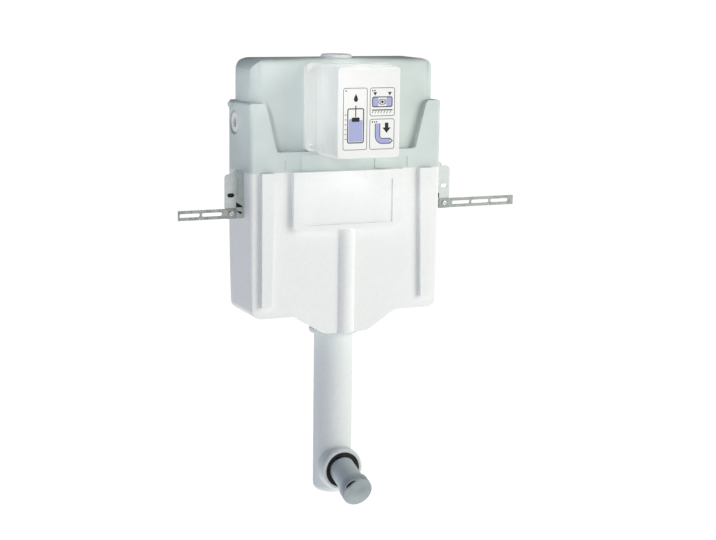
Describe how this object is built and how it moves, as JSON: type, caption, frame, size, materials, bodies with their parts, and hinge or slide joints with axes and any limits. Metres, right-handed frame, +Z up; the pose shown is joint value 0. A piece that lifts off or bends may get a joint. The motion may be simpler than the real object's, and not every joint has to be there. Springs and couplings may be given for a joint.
{
  "type": "concealed toilet cistern",
  "caption": "Flat concealed toilet cistern in a foam jacket, with a pull-off service shroud, inner fill and flush valves, fixing brackets with slotted straps and an insulated flush pipe.",
  "frame": {"origin": "centre of the flush outlet's mouth at the foot of the insulated pipe", "axes": "+Z up, -Y out of the front through the flush outlet, +X to the right seen from the front"},
  "size_m": [0.715, 0.2154, 0.873],
  "materials": {
    "tank_pe": "natural, slightly translucent, satin",
    "foam": "white moulded bead foam, matt",
    "white_pp": "white, semi-gloss",
    "label_film": "white film, matt",
    "brass": "turned, satin",
    "hose_steel": "braided sheath",
    "white_pom": "white, semi-gloss",
    "grey_abs": "light grey, satin",
    "blue_abs": "blue, semi-gloss",
    "float_foam": "cream closed-cell foam",
    "black_rubber": "matt",
    "plug_pe": "grey, slightly translucent",
    "galvanised": "galvanised sheet",
    "zinc_screw": "zinc plated"
  },
  "bodies": {
    "cistern": {"tank_shell": "tank_pe", "insulation_front": "foam", "insulation_rear": "foam", "top_inlet_cap": "tank_pe", "top_inlet_nut": "grey_abs", "side_blank_plug": "tank_pe", "side_plug_nut": "grey_abs", "inlet_bush": "white_pp", "inlet_nut": "brass", "service_frame": "white_pp", "frame_screws": "white_pp", "stop_valve_body": "brass", "fill_hose": "hose_steel", "hose_nuts": "grey_abs", "fill_valve_bracket": "grey_abs", "fill_valve_body": "white_pom", "silencer_tube": "white_pom", "valve_lever_pin": "zinc_screw", "outlet_seat": "white_pom", "outlet_seal": "black_rubber", "outlet_locknut": "grey_abs", "flush_valve_cage": "blue_abs", "lever_bridge": "grey_abs", "lever_pivot_pin": "zinc_screw", "flush_pipe": "white_pp", "pipe_washer": "black_rubber", "union_collar": "white_pp", "pipe_insulation_front": "foam", "pipe_insulation_rear": "foam", "mouth_seal": "black_rubber", "wall_bracket_left": "galvanised", "wall_bracket_right": "galvanised", "bracket_screws": "zinc_screw", "strap_screws": "zinc_screw", "strap_nuts": "zinc_screw"},
    "shroud": {"service_shroud": "white_pp", "instruction_label": "label_film"},
    "stop_knob": {"stop_valve_knob": "blue_abs"},
    "float_block": {"float": "float_foam", "float_rod": "white_pom"},
    "float_lever": {"valve_lever": "blue_abs"},
    "flush_lift": {"overflow_tube": "white_pom", "valve_washer": "black_rubber", "lift_cap": "blue_abs"},
    "half_lift": {"half_flush_rod": "white_pom", "half_flush_float": "float_foam"},
    "full_lever": {"full_flush_lever": "white_pom"},
    "half_lever": {"half_flush_lever": "blue_abs"},
    "plug": {"outlet_plug": "plug_pe"},
    "left_strap": {"strap_left": "galvanised"},
    "right_strap": {"strap_right": "galvanised"}
  },
  "joints": [
    {"name": "shroud_pull", "type": "slide", "parent": "cistern", "child": "shroud", "axis": [0, -1, 0], "range_m": [0, 0.12]},
    {"name": "stop_valve_turn", "type": "hinge", "parent": "cistern", "child": "stop_knob", "pos_m": [-0.15, 0.082, 0.69], "axis": [0, -1, 0], "range_deg": [0, 90]},
    {"name": "float_rise", "type": "slide", "parent": "cistern", "child": "float_block", "axis": [0, 0, 1], "range_m": [0, 0.012]},
    {"name": "float_lever_turn", "type": "hinge", "parent": "cistern", "child": "float_lever", "pos_m": [0.136, 0.082, 0.704], "axis": [0, -1, 0], "range_deg": [0, 18.6]},
    {"name": "full_flush_rise", "type": "slide", "parent": "cistern", "child": "flush_lift", "axis": [0, 0, 1], "range_m": [0, 0.018]},
    {"name": "full_lever_turn", "type": "hinge", "parent": "cistern", "child": "full_lever", "pos_m": [0.01, 0.095, 0.69], "axis": [-1, 0, 0], "range_deg": [0, 23.9]},
    {"name": "half_flush_rise", "type": "slide", "parent": "cistern", "child": "half_lift", "axis": [0, 0, 1], "range_m": [0, 0.018]},
    {"name": "half_lever_turn", "type": "hinge", "parent": "cistern", "child": "half_lever", "pos_m": [-0.026, 0.095, 0.69], "axis": [-1, 0, 0], "range_deg": [0, 23.9]},
    {"name": "plug_pull", "type": "slide", "parent": "cistern", "child": "plug", "axis": [0, -0.9511, -0.309], "range_m": [0, 0.06]},
    {"name": "left_strap_swing", "type": "hinge", "parent": "cistern", "child": "left_strap", "pos_m": [-0.226, 0.026, 0.5225], "axis": [0, -1, 0], "range_deg": [-60, 60]},
    {"name": "right_strap_swing", "type": "hinge", "parent": "cistern", "child": "right_strap", "pos_m": [0.226, 0.026, 0.5225], "axis": [0, -1, 0], "range_deg": [-60, 60]}
  ],
  "couplings": [
    {"joint": "float_lever_turn", "follows": "float_rise", "rad_per_m": 26.81},
    {"joint": "full_lever_turn", "follows": "full_flush_rise", "rad_per_m": 23.05},
    {"joint": "half_lever_turn", "follows": "half_flush_rise", "rad_per_m": 23.05}
  ]
}
